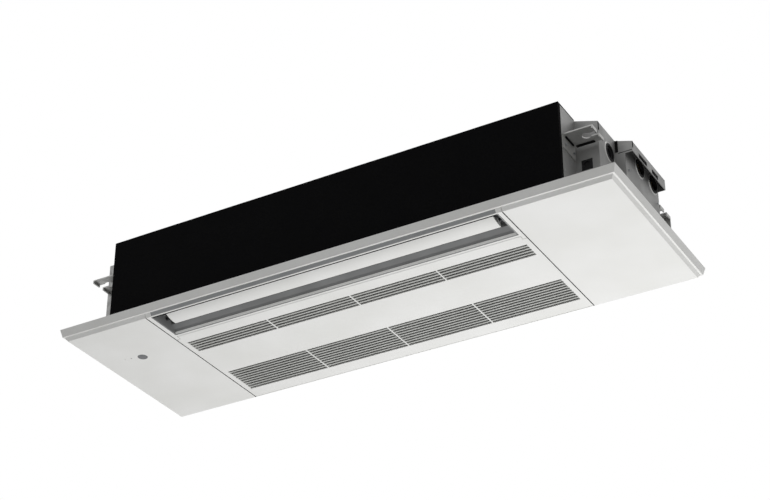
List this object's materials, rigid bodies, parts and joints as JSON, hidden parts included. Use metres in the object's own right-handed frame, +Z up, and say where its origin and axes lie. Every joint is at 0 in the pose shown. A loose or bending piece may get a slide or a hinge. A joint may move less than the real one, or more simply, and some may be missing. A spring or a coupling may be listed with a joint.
{
  "type": "ceiling cassette air conditioner",
  "caption": "Slim one-way ceiling cassette air conditioner with a white decoration panel, slotted intake grille, one swinging outlet vane and hanger brackets.",
  "frame": {"origin": "centre of the panel's outline on the plane where the panel meets the ceiling", "axes": "+X along the panel to the pipe end, +Y to the rear, away from the air outlet, +Z up into the ceiling void"},
  "size_m": [1.2, 0.414, 0.2025],
  "materials": {
    "ivory_plastic": "matt off-white moulding",
    "grey_plastic": "dark grey moulding",
    "dark_plastic": "black-grey moulding",
    "lens_plastic": "smoky translucent plastic",
    "zinc_sheet": "zinc-coated sheet",
    "black_foam": "black closed-cell foam",
    "black_rubber": "black rubber",
    "board_green": "green circuit board",
    "grey_foam": "dense moulded foam, skinned",
    "white_plastic": "white moulding",
    "fin_aluminium": "thin pressed fins",
    "copper": "bare copper tube",
    "brass": "turned brass",
    "bright_steel": "bright zinc-plated steel"
  },
  "bodies": {
    "unit": {"panel_base": "ivory_plastic", "side_cover_left": "ivory_plastic", "side_cover_right": "ivory_plastic", "centre_frame": "ivory_plastic", "outlet_strip": "grey_plastic", "outlet_liner": "grey_plastic", "vane_motor": "bright_steel", "grille_hinge_pins": "bright_steel", "catch_bodies": "dark_plastic", "receiver_window": "lens_plastic", "lamp_lens": "lens_plastic", "receiver_board": "board_green", "casing": "zinc_sheet", "end_plate_left": "zinc_sheet", "end_plate_right": "zinc_sheet", "front_insulation": "black_foam", "hanger_brackets": "zinc_sheet", "control_box": "zinc_sheet", "control_box_cover": "zinc_sheet", "control_board": "board_green", "pipe_bay_cover": "zinc_sheet", "port_grommets": "black_rubber", "terminal_block": "white_plastic", "fan_motor": "dark_plastic", "motor_bracket": "zinc_sheet", "fan_bearing": "bright_steel", "bearing_holder": "black_rubber", "scroll_casing": "grey_foam", "stabilizer": "grey_foam", "coil_fins": "fin_aluminium", "coil_tubes": "copper", "coil_plates": "zinc_sheet", "gas_pipe": "copper", "liquid_pipe": "copper", "flare_unions": "brass", "drain_pan": "white_plastic", "drain_pump": "dark_plastic", "drain_tube": "white_plastic", "float_stem": "dark_plastic", "panel_screws": "bright_steel", "sheet_screws": "bright_steel"},
    "fan": {"fan_wheel": "dark_plastic", "fan_shafts": "bright_steel"},
    "vane": {"vane": "ivory_plastic"},
    "grille": {"intake_grille": "ivory_plastic"},
    "filter_left": {"filter_left": "dark_plastic"},
    "filter_right": {"filter_right": "dark_plastic"},
    "catch_plunger_left": {"catch_plunger_left": "dark_plastic"},
    "catch_plunger_right": {"catch_plunger_right": "dark_plastic"},
    "manual_button": {"manual_button": "lens_plastic"},
    "pump_impeller": {"pump_impeller": "white_plastic"},
    "float_ring": {"float_ring": "white_plastic"},
    "link_left": {"louvre_link_left": "grey_plastic"},
    "link_right": {"louvre_link_right": "grey_plastic"},
    "blade_1": {"louvre_blade_1": "grey_plastic"},
    "blade_2": {"louvre_blade_2": "grey_plastic"},
    "blade_3": {"louvre_blade_3": "grey_plastic"},
    "blade_4": {"louvre_blade_4": "grey_plastic"},
    "blade_5": {"louvre_blade_5": "grey_plastic"},
    "blade_6": {"louvre_blade_6": "grey_plastic"}
  },
  "joints": [
    {"name": "fan_spin", "type": "hinge", "parent": "unit", "child": "fan", "pos_m": [0, -0.112, 0.1], "axis": [1, 0, 0], "continuous": true},
    {"name": "vane_tilt", "type": "hinge", "parent": "unit", "child": "vane", "pos_m": [0, -0.146, -0.0054], "axis": [1, 0, 0], "range_deg": [0, 60]},
    {"name": "grille_hinge", "type": "hinge", "parent": "unit", "child": "grille", "pos_m": [-0.011, -0.1006, -0.0204], "axis": [-1, 0, 0], "range_deg": [0, 85]},
    {"name": "filter_left_lift", "type": "slide", "parent": "grille", "child": "filter_left", "axis": [0, 0, 1], "range_m": [0, 0.02]},
    {"name": "filter_right_lift", "type": "slide", "parent": "grille", "child": "filter_right", "axis": [0, 0, 1], "range_m": [0, 0.02]},
    {"name": "catch_left_push", "type": "slide", "parent": "unit", "child": "catch_plunger_left", "axis": [0, 0, 1], "range_m": [0, 0.003], "stiffness_N_per_m": 300},
    {"name": "catch_right_push", "type": "slide", "parent": "unit", "child": "catch_plunger_right", "axis": [0, 0, 1], "range_m": [0, 0.003], "stiffness_N_per_m": 300},
    {"name": "button_press", "type": "slide", "parent": "unit", "child": "manual_button", "axis": [0, 0, 1], "range_m": [0, 0.0012], "stiffness_N_per_m": 400},
    {"name": "pump_spin", "type": "hinge", "parent": "unit", "child": "pump_impeller", "pos_m": [0.43, -0.074, 0.04], "axis": [0, 0, 1], "continuous": true},
    {"name": "float_rise", "type": "slide", "parent": "unit", "child": "float_ring", "axis": [0, 0, 1], "range_m": [0, 0.012]},
    {"name": "blade_1_swing", "type": "hinge", "parent": "unit", "child": "blade_1", "pos_m": [-0.32258, -0.151, 0.02], "axis": [0, 0, 1], "range_deg": [-35, 35]},
    {"name": "blade_2_swing", "type": "hinge", "parent": "unit", "child": "blade_2", "pos_m": [-0.19775, -0.151, 0.02], "axis": [0, 0, 1], "range_deg": [-35, 35]},
    {"name": "blade_3_swing", "type": "hinge", "parent": "unit", "child": "blade_3", "pos_m": [-0.07292, -0.151, 0.02], "axis": [0, 0, 1], "range_deg": [-35, 35]},
    {"name": "blade_4_swing", "type": "hinge", "parent": "unit", "child": "blade_4", "pos_m": [0.05192, -0.151, 0.02], "axis": [0, 0, 1], "range_deg": [-35, 35]},
    {"name": "blade_5_swing", "type": "hinge", "parent": "unit", "child": "blade_5", "pos_m": [0.17675, -0.151, 0.02], "axis": [0, 0, 1], "range_deg": [-35, 35]},
    {"name": "blade_6_swing", "type": "hinge", "parent": "unit", "child": "blade_6", "pos_m": [0.30158, -0.151, 0.02], "axis": [0, 0, 1], "range_deg": [-35, 35]},
    {"name": "link_left_shift", "type": "hinge", "parent": "blade_2", "child": "link_left", "pos_m": [-0.19775, -0.164, 0.0355], "axis": [0, 0, 1], "range_deg": [-35, 35]},
    {"name": "link_right_shift", "type": "hinge", "parent": "blade_5", "child": "link_right", "pos_m": [0.17675, -0.164, 0.0355], "axis": [0, 0, 1], "range_deg": [-35, 35]}
  ],
  "couplings": [
    {"joint": "blade_1_swing", "follows": "blade_2_swing", "ratio": 1},
    {"joint": "blade_3_swing", "follows": "blade_2_swing", "ratio": 1},
    {"joint": "blade_4_swing", "follows": "blade_5_swing", "ratio": 1},
    {"joint": "blade_6_swing", "follows": "blade_5_swing", "ratio": 1},
    {"joint": "link_left_shift", "follows": "blade_2_swing", "ratio": -1},
    {"joint": "link_right_shift", "follows": "blade_5_swing", "ratio": -1}
  ]
}
